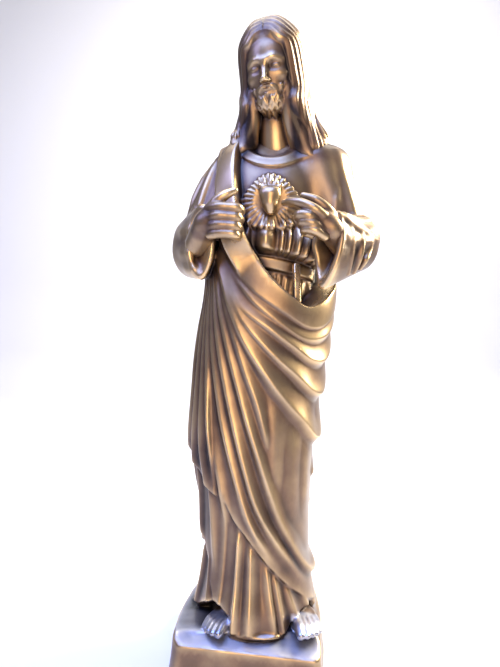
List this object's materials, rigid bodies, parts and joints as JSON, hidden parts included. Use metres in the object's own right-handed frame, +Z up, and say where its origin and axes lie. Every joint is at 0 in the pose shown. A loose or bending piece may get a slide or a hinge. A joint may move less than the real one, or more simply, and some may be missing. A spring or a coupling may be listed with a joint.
{
  "type": "sacred heart statue",
  "caption": "Standing robed and bearded figure with a raised heart on its chest, one hand pointing to it and one holding the mantle, cast in one with a low rock block.",
  "frame": {"origin": "middle of the block's flat underside", "axes": "+Z up along the figure, -Y out of the figure's front, +X to the right of a viewer facing the figure"},
  "size_m": [0.2078, 0.1598, 0.6199],
  "materials": {
    "bronze": "polished bronze, browned in the hollows"
  },
  "bodies": {
    "root": {"sacred_heart_statue": "bronze"}
  },
  "joints": []
}
